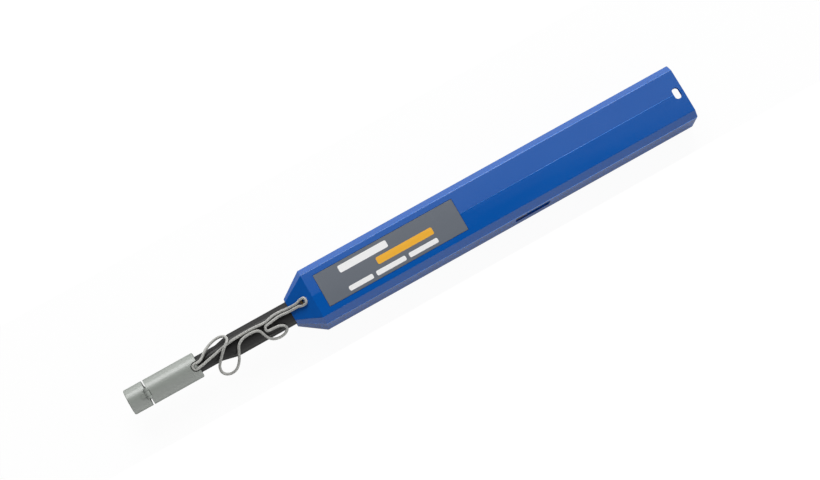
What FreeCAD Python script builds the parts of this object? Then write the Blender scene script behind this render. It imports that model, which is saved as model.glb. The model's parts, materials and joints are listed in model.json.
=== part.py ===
"""Fibre connector cleaning pen, in millimetres.

A clamshell pen body holds a sprung carriage.  The carriage carries the nozzle, the turning head and
the two tape reels.  A hinged guide cap sits on the nozzle and is tied to the body by a cord loop.
+X points out of the nozzle, +Z up out of the label face, and the pen lies on its flat underside.
The origin is under the middle of the pen, on the surface that it lies on.
"""
import FreeCAD
import Part
import os
from math import atan2, cos, degrees, pi, radians, sin, sqrt, tan

os.makedirs("parts", exist_ok=True)
V = FreeCAD.Vector
X_AXIS, Y_AXIS, Z_AXIS = V(1, 0, 0), V(0, 1, 0), V(0, 0, 1)

# ---------------------------------------------------------------- driving dimensions
# pen body
BODY_LENGTH = 161.0         # rear end to nose front
BODY_WIDTH = 21.7
BODY_HEIGHT = 18.8
BODY_CHAMFER = 2.4          # long edges of the eight-sided body
BODY_ROUND = 0.5            # rounding of each of its long corners
ROOF_RISE = 0.2             # the label face rises this much to the seam
WALL = 1.6
NOSE_LENGTH = 9.0
NOSE_LIP = 0.45             # wall left round the nozzle at the nose front
NOSE_LAND = 3.0             # length of bore that guides the nozzle
SEAM_GROOVE = 0.15          # half width of the small V along the seam behind the label
REAR_RECESS = 7.0           # open recess behind the rear wall, for the lanyard
LANYARD_SLOT = (2.6, 4.3)   # along the pen, across it
LANYARD_BAR = 1.4           # bar between the slot and the rear end
LABEL_LENGTH = 56.0
LABEL_WIDTH = 12.6
LABEL_THICKNESS = 0.35
LABEL_SETBACK = 3.8         # behind the front edge of the label face
LABEL_GAP = 0.1
LABEL_SUNK = 0.04           # below the label face

# stroke and the slot that limits it
STROKE = 9.0
SIDE_SLOT_HEIGHT = 4.7
SIDE_SLOT_TOP = 2.5         # from the chamfer down to the slot
SIDE_SLOT_REAR = 61.0       # rear end of the pen to the slot
STOP_TAB_LENGTH = 4.6
STOP_GAP = 0.25

# nozzle and head
NOZZLE_DIA = 8.8
NOZZLE_NECK_DIA = 6.15
NOZZLE_TAPER = (23.4, 5.7)  # nose front to the start of the taper, and its length
NOZZLE_REACH = 50.0         # nose front to the end of the neck
NOZZLE_BORE = 5.6
NECK_BORE = 4.2
FLANGE_DIA = 12.4
FLANGE_THICKNESS = 1.6
TIP_TUBE_DIA = 2.44
TIP_TUBE_BORE = 2.0
TIP_TUBE_OUT = 2.2          # out of the neck
TIP_TUBE_SEAT = 6.0         # inside the neck
SHAFT_DIA = 2.6
TIP_DIA = 1.0
TIP_INSERT = 4.0
SLEEVE_DIA = 7.0            # grooved sleeve that turns the head
SLEEVE_LENGTH = 24.0
GROOVE_RADIUS = 0.85
CAM_PIN_DIA = 1.4
HEAD_TURN = 180.0           # degrees a stroke

# carriage
FIT = 0.3                   # carriage to body
RUN = 0.1                   # sliding and turning fits, on the radius
PLATE = 1.4
PLATE_HEIGHT = 12.0
FRONT_PLATE = 2.8
CROSS_PLATE = 2.4
CARRIAGE_LENGTH = 103.0
MID_PLATE_BACK = 42.4       # front of the carriage to the front of the middle plate
SPRING_ROOM = 25.0
SPRING_DIA = 8.0
SPRING_WIRE = 0.8
SPRING_TURNS = 7
SPIGOT_DIA = 6.0
SPIGOT_LENGTH = 5.0

# reels and drive
TAKE_UP_BACK = 63.0         # front of the carriage to the take-up axle
SUPPLY_BACK = 89.0          # front of the carriage to the supply axle
AXLE_DIA = 2.0
REEL_DIA = 12.4
REEL_CORE = 5.0
REEL_GAP = 1.5              # between the cheeks
REEL_CHEEK = 0.9
HUB_DIA = 4.4
TAKE_UP_ROLL = 6.8
SUPPLY_ROLL = 11.6
TOOTH_MODULE = 0.6
PINION_TEETH = 14
PINION_WIDTH = 2.2
PINION_OFFSET = 3.9         # from the middle of the pen to the pinion
PRESSURE_ANGLE = 20.0
BACKLASH = 0.12
CLUTCH_WIRE = 0.35
CLUTCH_TURNS = 5
BRAKE_THICKNESS = 0.5

# tape
TAPE_WIDTH = 1.1
TAPE_THICKNESS = 0.12
TAPE_OUT = 4.2              # runs beside the sleeve, from the middle of the head
TAPE_IN_BORE = 2.0
TAPE_IN_NECK = 1.6
TAPE_AT_TIP = 0.7
TAPE_GAP = 0.1
GUIDE_PIN_DIA = 1.2

# guide cap and lid
NOSE_TO_CAP = 37.4
CAP_LENGTH = 19.8
CAP_DIA = 9.6
CAP_TURN = 12.0             # the cap sits turned on the nozzle by this much
LID_GAP = 0.7
LID_LENGTH = 7.1
LID_WALL = 1.6
PORT_DIA = 2.54             # takes a 2.5 mm ferrule
PORT_DEPTH = 6.2
PORT_BOSS = (5.0, 2.5)      # diameter, length
HINGE_HEIGHT = 5.0          # above the middle of the cap
HINGE_PIN_DIA = 0.8
KNUCKLE_DIA = 1.8
KNUCKLE_WIDTH = 1.8
EAR_WIDTH = 0.95
EAR_ROOT = 1.2              # ears and arm reach this deep into the walls
ARM_LENGTH = 2.4            # from the hinge's axis along the lid
HINGE_GAP = 0.1
RIM_FLAT = (3.0, 0.35)      # flat beside the cord's notch: length, depth
RIM_FLAT_TURN = 48.0        # degrees from the top of the cap to the flat
EDGE_ROUND = 0.3

# cord loop
CORD_DIA = 1.0
CORD_SIDES = 10              # flats round the cord
POST_DIA = 1.0
NOSE_POST_BACK = 5.25       # nose front to the post
CAP_POST_IN = 1.0           # rear rim of the cap to the post
CORD_LOOP = 1.2             # half width of the loop round the cap's post
CORD_PINCH = 0.75           # half the distance between its legs just outside the cap
CORD_CLEAR = 0.15

# ---------------------------------------------------------------- places worked out from them
OVERALL = BODY_LENGTH + NOSE_TO_CAP + CAP_LENGTH + LID_GAP + LID_LENGTH
X_REAR = -OVERALL / 2
X_NOSE = X_REAR + BODY_LENGTH
X_SHOULDER = X_NOSE - NOSE_LENGTH
ZC = BODY_HEIGHT / 2                       # the nozzle's axis
INSET_SHARE = 2 - sqrt(2)                  # how much of an inset a chamfer loses
NOZZLE_BORE_IN_NOSE = NOZZLE_DIA + 2 * RUN
NOSE_FRONT = NOZZLE_BORE_IN_NOSE + 2 * NOSE_LIP
IN_HALF_W = BODY_WIDTH / 2 - WALL
IN_HALF_H = BODY_HEIGHT / 2 - WALL
X_WALL = X_REAR + REAR_RECESS
X_LABEL = X_SHOULDER - LABEL_SETBACK
X_LANYARD = X_REAR + LANYARD_BAR + LANYARD_SLOT[0] / 2
STOP_LENGTH = STOP_TAB_LENGTH + STROKE + 2 * STOP_GAP
X_SLOT = X_REAR + SIDE_SLOT_REAR
Z_SLOT = BODY_HEIGHT - BODY_CHAMFER - SIDE_SLOT_TOP - SIDE_SLOT_HEIGHT

X_CARRIAGE = X_SHOULDER - RUN              # front of the carriage
X_FLANGE = X_CARRIAGE - FRONT_PLATE - FLANGE_THICKNESS
X_CARRIAGE_REAR = X_CARRIAGE - CARRIAGE_LENGTH
X_MID = X_CARRIAGE - MID_PLATE_BACK
X_SEAT = X_CARRIAGE_REAR - SPRING_ROOM
X_TAKE_UP = X_CARRIAGE - TAKE_UP_BACK
X_SUPPLY = X_CARRIAGE - SUPPLY_BACK
PLATE_OUT = IN_HALF_W - FIT
PLATE_IN = PLATE_OUT - PLATE
X_TAPER = X_NOSE + NOZZLE_TAPER[0]
X_NECK = X_TAPER + NOZZLE_TAPER[1]
X_NECK_END = X_NOSE + NOZZLE_REACH
X_TIP_SEAT = X_NECK_END - TIP_TUBE_SEAT
X_TIP_END = X_NECK_END + TIP_TUBE_OUT
X_SLEEVE = X_MID + 5.0
X_SHAFT_END = X_TIP_SEAT - 8.0
X_CAM_PIN = X_SLEEVE + (SLEEVE_LENGTH - STROKE) / 2
X_GUIDE = X_SLEEVE + SLEEVE_LENGTH + 2.5   # pins that bend the tape into the nozzle
Z_GUIDE = TAPE_OUT - TAPE_THICKNESS / 2 - 0.05 - GUIDE_PIN_DIA / 2
PITCH_RADIUS = TOOTH_MODULE * PINION_TEETH / 2
HUB_SIDE = (PINION_OFFSET - REEL_GAP / 2 - REEL_CHEEK - RUN) / 2    # hub of the reel, and of the pinion
X_CAP = X_NOSE + NOSE_TO_CAP
X_CAP_FRONT = X_CAP + CAP_LENGTH
X_LID = X_CAP_FRONT + LID_GAP
X_LID_FRONT = X_LID + LID_LENGTH
X_HINGE = X_CAP_FRONT + LID_GAP / 2
X_NOSE_POST = X_NOSE - NOSE_POST_BACK
X_CAP_POST = X_CAP + CAP_POST_IN


# ---------------------------------------------------------------- shapes used again and again
def box(x0, x1, y0, y1, z0, z1):
    return Part.makeBox(x1 - x0, y1 - y0, z1 - z0, V(x0, y0, z0))


def rod(diameter, x0, x1, y=0.0, z=ZC):
    """Round bar along the pen."""
    return Part.makeCylinder(diameter / 2, x1 - x0, V(x0, y, z), X_AXIS)


def pin(diameter, x, y0, y1, z=ZC):
    """Round bar across the pen."""
    return Part.makeCylinder(diameter / 2, y1 - y0, V(x, y0, z), Y_AXIS)


def ring(outer, bore, x, y0, y1, z=ZC):
    return pin(outer, x, y0, y1, z).cut(pin(bore, x, y0 - 1, y1 + 1, z))


def turned(profile):
    """Solid turned about the nozzle's axis from (x, radius) points."""
    points = [V(x, 0, ZC + r) for x, r in profile]
    return Part.Face(Part.makePolygon(points + points[:1])).revolve(V(0, 0, ZC), X_AXIS, 360)


def section_wire(outline, x, radius=0.0):
    """Closed wire across the pen from (y, z) points, with its corners rounded."""
    points = [V(x, y, z) for y, z in outline]
    if not radius:
        return Part.makePolygon(points + points[:1])
    edges, start, here = [], None, None
    for before, corner, after in zip(points[-1:] + points[:-1], points, points[1:] + points[:1]):
        back, ahead = (before - corner).normalize(), (after - corner).normalize()
        half = back.getAngle(ahead) / 2
        if degrees(half) > 80:
            arc = [corner]
        else:
            middle = (back + ahead).normalize()
            crown = corner + middle * radius * (1 / sin(half) - 1)
            arc = [corner + back * radius / tan(half), crown, corner + ahead * radius / tan(half)]
        if here:
            edges.append(Part.makeLine(here, arc[0]))
        start, here = start or arc[0], arc[-1]
        if len(arc) > 1:
            edges.append(Part.Arc(*arc).toShape())
    return Part.Wire([*edges, Part.makeLine(here, start)])


def prism(outline, x0, x1, radius=0.0):
    """Solid along the pen from (y, z) points."""
    return Part.Face(section_wire(outline, x0, radius)).extrude(V(x1 - x0, 0, 0))


def plate(outline, y0, y1):
    """Solid across the pen from (x, z) points."""
    points = [V(x, y0, z) for x, z in outline]
    return Part.Face(Part.makePolygon(points + points[:1])).extrude(V(0, y1 - y0, 0))


def round_slot(x0, x1, z0, z1, y0, y1, corner):
    """Rounded rectangle cut across the pen."""
    block = box(x0, x1, y0, y1, z0, z1)
    return block.makeFillet(corner, [e for e in block.Edges if abs(e.tangentAt(0).y) > 0.99])


def octagon(half_w, half_h, chamfer, rise=0.0):
    """Eight-sided section about the axis; the top rises by `rise` to its middle."""
    side_z, top_y = half_h - chamfer, half_w - chamfer
    return [
        (-top_y, ZC - half_h), (top_y, ZC - half_h), (half_w, ZC - side_z), (half_w, ZC + side_z),
        (top_y, ZC + half_h - rise), (0, ZC + half_h), (-top_y, ZC + half_h - rise),
        (-half_w, ZC + side_z), (-half_w, ZC - side_z),
    ]


def inset(distance, rise=0.0):
    """The body's section, moved inwards."""
    return octagon(BODY_WIDTH / 2 - distance, BODY_HEIGHT / 2 - distance,
                   BODY_CHAMFER - INSET_SHARE * distance, rise)


def taper(back, x0, front, x1, radius=0.0):
    """Flat-sided taper between two sections with as many corners."""
    return Part.makeLoft([section_wire(back, x0, radius), section_wire(front, x1, radius)], True, True)


def fuse(shapes):
    first, *rest = shapes
    return first.multiFuse(rest).removeSplitter() if rest else first


def cut(shape, tools):
    return shape.cut(fuse(tools)) if tools else shape


def coil(coil_dia, wire, turns, start, axis, length, sides):
    """Open coil lofted through many-sided sections; `length` is over its wire."""
    steps = 16                                 # sections a turn
    pitch = (length - wire) / turns
    radius = (coil_dia - wire) / 2
    slope = pitch / (2 * pi * radius)
    sections = []
    for step in range(turns * steps + 1):
        angle = 2 * pi * step / steps
        outwards = V(cos(angle), sin(angle), 0)
        upwards = V(slope * sin(angle), -slope * cos(angle), 1).normalize()
        middle = outwards * radius + Z_AXIS * (pitch * step / steps)
        corners = [2 * pi * (n + 0.5) / sides for n in range(sides)]
        points = [middle + (outwards * cos(a) + upwards * sin(a)) * (wire / 2) for a in corners]
        sections.append(Part.makePolygon(points + points[:1]))
    body = Part.makeLoft(sections, True, True)
    body.rotate(V(0, 0, 0), *turn_to(axis))
    body.translate(start + axis * (wire / 2))
    return body


def turn_to(axis):
    """Rotation that takes +Z to `axis`."""
    turn = FreeCAD.Rotation(Z_AXIS, axis)
    return turn.Axis, degrees(turn.Angle)


def cord_tube(points, diameter, name):
    """Ten-sided tube along straight runs joined by arcs as large as the runs allow."""
    points = [V(*p) for p in points]
    runs = [b - a for a, b in zip(points, points[1:])]
    edges, radii, here = [], [], points[0]
    for corner, before, after in zip(points[1:], runs, runs[1:]):
        half_turn = before.getAngle(after) / 2
        reach = 0.45 * min(before.Length, after.Length)
        radius = reach / tan(half_turn)
        ahead, away = V(before).normalize(), V(after).normalize()
        into, out = corner - ahead * reach, corner + away * reach
        crown = corner + (away - ahead).normalize() * radius * (1 / cos(half_turn) - 1)
        edges += [Part.makeLine(here, into), Part.Arc(into, crown, out).toShape()]
        radii.append(radius)
        here = out
    edges.append(Part.makeLine(here, points[-1]))
    path = Part.Wire(edges)
    area = pi * diameter ** 2 / 4
    corner_radius = sqrt(area / (CORD_SIDES / 2 * sin(2 * pi / CORD_SIDES)))
    ahead = V(runs[0]).normalize()
    across = ahead.cross(Z_AXIS).normalize() * corner_radius
    upwards = across.cross(ahead)
    angles = [2 * pi * (n + 0.5) / CORD_SIDES for n in range(CORD_SIDES)]
    corners = [points[0] + across * cos(a) + upwards * sin(a) for a in angles]
    tube = path.makePipeShell([Part.makePolygon(corners + corners[:1])], True, False)
    share = tube.Volume / (path.Length * area)
    print(f"{name}: {path.Length:.1f} long, volume over section times length {share:.4f}, radii "
          + ", ".join(f"{r:.1f}" for r in radii))
    return tube


parts = {}


# ---------------------------------------------------------------- pen body
def roof(y):
    """Height of the label face at a distance from the seam."""
    return BODY_HEIGHT - ROOF_RISE * abs(y) / (BODY_WIDTH / 2 - BODY_CHAMFER)


def nose_section():
    half = NOSE_FRONT / 2
    return octagon(half, half, half * BODY_CHAMFER * 2 / BODY_HEIGHT, ROOF_RISE / 4)


def body_outside():
    full, rim = inset(0, ROOF_RISE), inset(EDGE_ROUND, ROOF_RISE)
    rear = taper(rim, X_REAR, full, X_REAR + EDGE_ROUND, BODY_ROUND)
    tail = prism(full, X_REAR + EDGE_ROUND, X_SHOULDER, BODY_ROUND)
    return fuse([tail, rear, taper(full, X_SHOULDER, nose_section(), X_NOSE, BODY_ROUND)])


def body_inside():
    half = NOZZLE_BORE_IN_NOSE / 2 + 0.4
    mouth = octagon(half, half, half * BODY_CHAMFER * 2 / BODY_HEIGHT)
    hall = prism(octagon(IN_HALF_W, IN_HALF_H, BODY_CHAMFER - INSET_SHARE * WALL), X_WALL + WALL, X_SHOULDER)
    nose = taper(octagon(IN_HALF_W, IN_HALF_H, BODY_CHAMFER - INSET_SHARE * WALL), X_SHOULDER,
                 mouth, X_NOSE - NOSE_LAND)
    return [hall, nose, rod(NOZZLE_BORE_IN_NOSE, X_NOSE - NOSE_LAND - 1, X_NOSE + 1)]


def roof_strip(x0, x1, half_width, depth, above):
    """What lies between `depth` under the label face and `above` over it."""
    sides = (-half_width, 0, half_width)
    top = [(y, roof(y) + above) for y in sides]
    return prism(top + [(y, roof(y) - depth) for y in reversed(sides)], x0, x1)


def seam_groove():
    """Small V along the seam, from the rear end to the label."""
    groove = [(-SEAM_GROOVE, BODY_HEIGHT + 1), (-SEAM_GROOVE, BODY_HEIGHT), (0, BODY_HEIGHT - SEAM_GROOVE),
              (SEAM_GROOVE, BODY_HEIGHT), (SEAM_GROOVE, BODY_HEIGHT + 1)]
    return prism(groove, X_REAR - 1, X_LABEL - LABEL_LENGTH)


def rack():
    """Straight rack that turns the pinion as the carriage slides."""
    pitch = pi * TOOTH_MODULE
    line = ZC - PITCH_RADIUS
    lean = tan(radians(PRESSURE_ANGLE))
    top, root = 0.8 * TOOTH_MODULE, 1.1 * TOOTH_MODULE
    ahead = 2
    behind = int(STROKE / pitch) + 3
    outline = []
    for tooth in range(-behind, ahead + 1):
        middle = X_TAKE_UP + tooth * pitch
        half = (pitch / 2 - BACKLASH) / 2
        outline += [(middle - half - lean * root, line - root), (middle - half + lean * top, line + top),
                    (middle + half - lean * top, line + top), (middle + half + lean * root, line - root)]
    base = WALL / 2
    outline += [(outline[-1][0] + 1, line - root), (outline[-1][0] + 1, base),
                (outline[0][0] - 1, base), (outline[0][0] - 1, line - root)]
    y0 = PINION_OFFSET - 0.3
    return plate(outline, y0, y0 + PINION_WIDTH + 0.6)


def seam_pins(extra):
    """Round pins that line the two halves up; `extra` opens the sockets."""
    wall_middle = WALL / 2
    places = [(X_REAR + share * BODY_LENGTH, wall_middle) for share in (0.3, 0.6, 0.85)]
    places += [(X_REAR + share * BODY_LENGTH, BODY_HEIGHT - wall_middle) for share in (0.3, 0.5)]
    places += [(X_WALL + WALL / 2, ZC - 4), (X_WALL + WALL / 2, ZC + 4)]
    return [pin(WALL / 2 + 2 * extra, x, -1.5, 1.8 + extra, z) for x, z in places]


def spring_seat():
    wall = prism(inset(WALL / 2), X_SEAT - WALL, X_SEAT)
    return wall.fuse(rod(SPIGOT_DIA, X_SEAT - 0.5, X_SEAT + SPIGOT_LENGTH - 1))


def stiffeners():
    """Ribs across the empty chamber behind the spring seat."""
    inside = octagon(IN_HALF_W - 1.2, IN_HALF_H - 1.2, BODY_CHAMFER - INSET_SHARE * (WALL + 1.2))
    span = X_SEAT - WALL - X_WALL - WALL
    ribs = []
    for share in (0.36, 0.7):
        x = X_WALL + WALL + share * span
        ribs.append(prism(inset(WALL / 2), x - 0.5, x + 0.5).cut(prism(inside, x - 1, x + 1)))
    return ribs


def slot_cutter():
    x0, x1 = X_SLOT, X_SLOT + STOP_LENGTH
    side = BODY_WIDTH / 2
    hole = round_slot(x0, x1, Z_SLOT, Z_SLOT + SIDE_SLOT_HEIGHT, side - WALL - 1, side + 1, 0.8)
    lip = plate([(x0 + 0.3, Z_SLOT + 0.1), (x1 - 0.3, Z_SLOT + 0.1), (x1 - 0.3, Z_SLOT - 0.8),
                 (x0 + 0.3, Z_SLOT - 0.8)], side - 0.6, side + 0.5)
    lip.rotate(V(0, side, Z_SLOT - 0.8), X_AXIS, 30)
    return hole.fuse(lip)


def lanyard_cutter():
    length, width = LANYARD_SLOT
    block = box(X_LANYARD - length / 2, X_LANYARD + length / 2, -width / 2, width / 2,
                BODY_HEIGHT - 2 * WALL, BODY_HEIGHT + 1)
    return block.makeFillet(0.45 * length, [e for e in block.Edges if abs(e.tangentAt(0).z) > 0.99])


def nose_post_frame():
    """Foot of the nose post, and the nose facet's outward normal."""
    drop = BODY_HEIGHT / 2 - NOSE_FRONT / 2
    height = BODY_HEIGHT - drop * (X_NOSE_POST - X_SHOULDER) / NOSE_LENGTH
    return V(X_NOSE_POST, 0, height), V(drop, 0, NOSE_LENGTH).normalize()


def nose_post(diameter, depth, height):
    foot, normal = nose_post_frame()
    return Part.makeCylinder(diameter / 2, depth + height, foot - normal * depth, normal)


def build_body():
    shell = cut(body_outside(), body_inside())
    shell = shell.cut(prism(inset(WALL), X_REAR - 1, X_WALL))
    shell = fuse([shell, spring_seat(), *stiffeners()])
    gap = LABEL_GAP
    shell = cut(shell, [
        roof_strip(X_LABEL - LABEL_LENGTH - gap, X_LABEL + gap, LABEL_WIDTH / 2 + gap, LABEL_THICKNESS, 1),
        seam_groove(), lanyard_cutter(), nose_post(POST_DIA, WALL, 1),
    ])
    far = OVERALL
    left = shell.common(box(-far, far, -far, 0, -far, far))
    right = shell.common(box(-far, far, 0, far, -far, far))
    side = -BODY_WIDTH / 2
    left = fuse([left, *seam_pins(0)])
    left = left.cut(pin(CAM_PIN_DIA, X_CAM_PIN, side + 0.6, side + 2 * WALL))
    right = cut(fuse([right, rack()]), seam_pins(RUN))
    parts["housing_left"] = left
    parts["housing_right"] = right.cut(slot_cutter())
    parts["label_plate"] = roof_strip(X_LABEL - LABEL_LENGTH, X_LABEL, LABEL_WIDTH / 2, LABEL_THICKNESS,
                                      -LABEL_SUNK)
    middle = -SLEEVE_DIA / 2
    stem = pin(CAM_PIN_DIA, X_CAM_PIN, side + 0.6, middle)
    parts["cam_pin"] = stem.fuse(Part.makeSphere(CAM_PIN_DIA / 2, V(X_CAM_PIN, middle, ZC)))
    parts["nose_post"] = nose_post(POST_DIA, WALL - 0.2, CORD_DIA + 2 * CORD_CLEAR)
    parts["return_spring"] = coil(SPRING_DIA, SPRING_WIRE, SPRING_TURNS, V(X_SEAT + 0.05, 0, ZC), X_AXIS,
                                  SPRING_ROOM - 0.1, 8)


# ---------------------------------------------------------------- carriage
def cross_plate(x0, x1):
    return prism(inset(WALL + FIT), x0, x1)


def tape_window(x0, x1, sign):
    z0, z1 = sorted((ZC + sign * 2.6, ZC + sign * (PLATE_HEIGHT / 2)))
    return box(x0 - 1, x1 + 1, -1.6, 1.6, z0, z1)


def carriage_frame():
    half = PLATE_HEIGHT / 2
    solids, holes = [], []
    for y0, y1 in ((-PLATE_OUT, -PLATE_IN), (PLATE_IN, PLATE_OUT)):
        solids.append(box(X_CARRIAGE_REAR, X_CARRIAGE, y0, y1, ZC - half, ZC + half))
    solids.append(cross_plate(X_CARRIAGE - FRONT_PLATE, X_CARRIAGE))
    solids.append(cross_plate(X_MID - CROSS_PLATE, X_MID))
    solids.append(cross_plate(X_CARRIAGE_REAR, X_CARRIAGE_REAR + CROSS_PLATE))
    solids.append(rod(SPIGOT_DIA, X_CARRIAGE_REAR - SPIGOT_LENGTH, X_CARRIAGE_REAR + 0.5))
    solids.append(rod(SHAFT_DIA + 2.2, X_MID - 0.5, X_MID + 2.5))
    tab = X_SLOT + STOP_LENGTH - STOP_GAP
    solids.append(box(tab - STOP_TAB_LENGTH, tab, PLATE_IN + 0.2, BODY_WIDTH / 2 - 0.35,
                      Z_SLOT + STOP_GAP, Z_SLOT + SIDE_SLOT_HEIGHT - STOP_GAP))
    holes.append(rod(NOZZLE_DIA, X_CARRIAGE - FRONT_PLATE - 1, X_CARRIAGE + 1))
    holes.append(rod(SHAFT_DIA + 2 * RUN, X_MID - CROSS_PLATE - 1, X_MID + 3))
    holes += [tape_window(X_MID - CROSS_PLATE, X_MID, sign) for sign in (-1, 1)]
    for x in (X_TAKE_UP, X_SUPPLY):
        holes.append(pin(AXLE_DIA, x, -BODY_WIDTH, BODY_WIDTH))
    for sign in (-1, 1):
        holes.append(pin(GUIDE_PIN_DIA, X_GUIDE, -BODY_WIDTH, BODY_WIDTH, ZC + sign * Z_GUIDE))
    slack = CAM_PIN_DIA / 2 + 2 * RUN
    holes.append(round_slot(X_CAM_PIN - slack, X_CAM_PIN + STROKE + slack, ZC - slack, ZC + slack,
                            -BODY_WIDTH, -PLATE_IN + 1, 0.9 * slack))
    windows = [(X_CARRIAGE_REAR + 5, X_SUPPLY - 4), (X_SUPPLY + 4, X_TAKE_UP - 4),
               (X_TAKE_UP + 4, X_MID - 6)]
    for x0, x1 in windows:
        holes.append(round_slot(x0, x1, ZC - half + 2.2, ZC + half - 2.2, -BODY_WIDTH, -PLATE_IN + 1, 1.5))
    return cut(fuse(solids), holes)


def nozzle():
    outer, neck = NOZZLE_DIA / 2, NOZZLE_NECK_DIA / 2
    bore, throat, seat = NOZZLE_BORE / 2, NECK_BORE / 2, TIP_TUBE_DIA / 2
    rim = X_FLANGE + FLANGE_THICKNESS
    return turned([
        (X_FLANGE, bore + 0.8), (X_FLANGE, FLANGE_DIA / 2), (rim, FLANGE_DIA / 2), (rim, outer),
        (X_TAPER, outer), (X_NECK, neck), (X_NECK_END - 0.4, neck), (X_NECK_END, neck - 0.4),
        (X_NECK_END, seat), (X_TIP_SEAT, seat), (X_TIP_SEAT, throat), (X_NECK - 1, throat),
        (X_TAPER - 1, bore), (X_FLANGE + 1, bore),
    ])


def tip_tube():
    """Thin tube that fits in a connector's sleeve; its flange stops it in the neck."""
    outer, bore, flange = TIP_TUBE_DIA / 2, TIP_TUBE_BORE / 2, NECK_BORE / 2 - 0.15
    back = X_TIP_SEAT - 1.2
    return turned([
        (back, bore + 0.5), (back, flange), (X_TIP_SEAT, flange), (X_TIP_SEAT, outer),
        (X_TIP_END - 0.2, outer), (X_TIP_END, outer - 0.15), (X_TIP_END, bore), (back + 0.6, bore),
    ])


def build_carriage():
    parts["carriage_frame"] = carriage_frame()
    parts["nozzle_tube"] = nozzle()
    parts["tip_tube"] = tip_tube()
    reach = PLATE_OUT - 0.1
    parts["take_up_axle"] = pin(AXLE_DIA, X_TAKE_UP, -reach, reach)
    parts["supply_axle"] = pin(AXLE_DIA, X_SUPPLY, -reach, reach)
    guides = [pin(GUIDE_PIN_DIA, X_GUIDE, -reach, reach, ZC + sign * Z_GUIDE) for sign in (-1, 1)]
    parts["tape_guide_pins"] = Part.makeCompound(guides)
    parts["supply_brake_washer"] = ring(HUB_DIA + 1.6, AXLE_DIA + 2 * RUN, X_SUPPLY,
                                        -PLATE_IN + 0.05, -PLATE_IN + 0.05 + BRAKE_THICKNESS)


# ---------------------------------------------------------------- turning head
def head_groove():
    """Helical groove: the pin in the body turns the sleeve by HEAD_TURN in one stroke."""
    lead = STROKE * 360 / HEAD_TURN
    over = 1.0
    path = Part.makeHelix(lead, STROKE + 2 * over, SLEEVE_DIA / 2)
    slope = V(0, 2 * pi * SLEEVE_DIA / 2, lead)
    section = Part.Wire(Part.makeCircle(GROOVE_RADIUS, V(SLEEVE_DIA / 2, 0, 0), slope))
    groove = Part.Wire(path).makePipeShell([section], True, True)
    groove.rotate(V(0, 0, 0), Y_AXIS, 90)
    # the helix starts on -Z, and at X_CAM_PIN it has to face the pin, on -Y
    groove.rotate(V(0, 0, 0), X_AXIS, -90 - 360 * over / lead)
    groove.translate(V(X_CAM_PIN - over, 0, ZC))
    return groove


def build_head():
    sleeve = rod(SLEEVE_DIA, X_SLEEVE, X_SLEEVE + SLEEVE_LENGTH)
    sleeve = sleeve.makeChamfer(0.4, [sleeve.Edges[0], sleeve.Edges[2]])
    shaft_hole = rod(SHAFT_DIA, X_SLEEVE - 1, X_SLEEVE + SLEEVE_LENGTH + 1)
    parts["cam_sleeve"] = cut(sleeve, [head_groove(), shaft_hole])
    shaft = rod(SHAFT_DIA, X_MID - CROSS_PLATE + 0.2, X_SHAFT_END)
    parts["head_shaft"] = shaft.cut(rod(TIP_DIA, X_SHAFT_END - TIP_INSERT, X_SHAFT_END + 1))
    end = X_TIP_END - 0.1
    parts["head_tip"] = rod(TIP_DIA, X_SHAFT_END - TIP_INSERT + 0.1, end).fuse(
        Part.makeSphere(TIP_DIA / 2, V(end, 0, ZC)))


# ---------------------------------------------------------------- reels and drive
def tooth_flank(radius_out):
    """Involute of the pinion's base circle, as (radius, angle) from the base circle outwards."""
    base = PITCH_RADIUS * cos(radians(PRESSURE_ANGLE))
    points = []
    for step in range(5):
        radius = base + (radius_out - base) * step / 4
        roll = sqrt(max((radius / base) ** 2 - 1, 0))
        points.append((radius, roll - atan2(roll, 1)))
    return points


def pinion():
    outer, root = PITCH_RADIUS + 0.8 * TOOTH_MODULE, PITCH_RADIUS - 1.1 * TOOTH_MODULE
    flank = tooth_flank(outer)
    at_pitch = tan(radians(PRESSURE_ANGLE)) - radians(PRESSURE_ANGLE)
    half = (pi * TOOTH_MODULE / 2 - BACKLASH) / 2 / PITCH_RADIUS
    outline = []
    for tooth in range(PINION_TEETH):
        middle = 2 * pi * (tooth + 0.5) / PINION_TEETH - pi / 2
        rising = [(r, middle - half - at_pitch + a) for r, a in flank]
        falling = [(r, middle + half + at_pitch - a) for r, a in reversed(flank)]
        corners = [(root, rising[0][1]), *rising, *falling, (root, falling[-1][1])]
        outline += [(X_TAKE_UP + r * cos(a), ZC + r * sin(a)) for r, a in corners]
    gear = plate(outline, PINION_OFFSET, PINION_OFFSET + PINION_WIDTH)
    hub = pin(HUB_DIA, X_TAKE_UP, PINION_OFFSET - HUB_SIDE, PLATE_IN - RUN)
    return gear.fuse(hub).cut(pin(AXLE_DIA + 2 * RUN, X_TAKE_UP, 0, BODY_WIDTH))


def reel(x, hub_to, far_to):
    """Two cheeks on a core, with a hub each side."""
    cheek = REEL_GAP / 2
    solids = [pin(REEL_CORE, x, -cheek - 0.1, cheek + 0.1), pin(HUB_DIA, x, far_to, hub_to)]
    holes = [pin(AXLE_DIA + 2 * RUN, x, -BODY_WIDTH, BODY_WIDTH)]
    for y in (-cheek - REEL_CHEEK, cheek):
        solids.append(pin(REEL_DIA, x, y, y + REEL_CHEEK))
    around = (REEL_DIA + REEL_CORE) / 4
    for turn in range(3):
        angle = 2 * pi * turn / 3 + pi / 2
        holes.append(pin(1.0, x + around * cos(angle), -BODY_WIDTH, BODY_WIDTH, ZC + around * sin(angle)))
    return cut(fuse(solids), holes)


def roll(x, diameter):
    return ring(diameter, REEL_CORE, x, -TAPE_WIDTH / 2, TAPE_WIDTH / 2)


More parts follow.
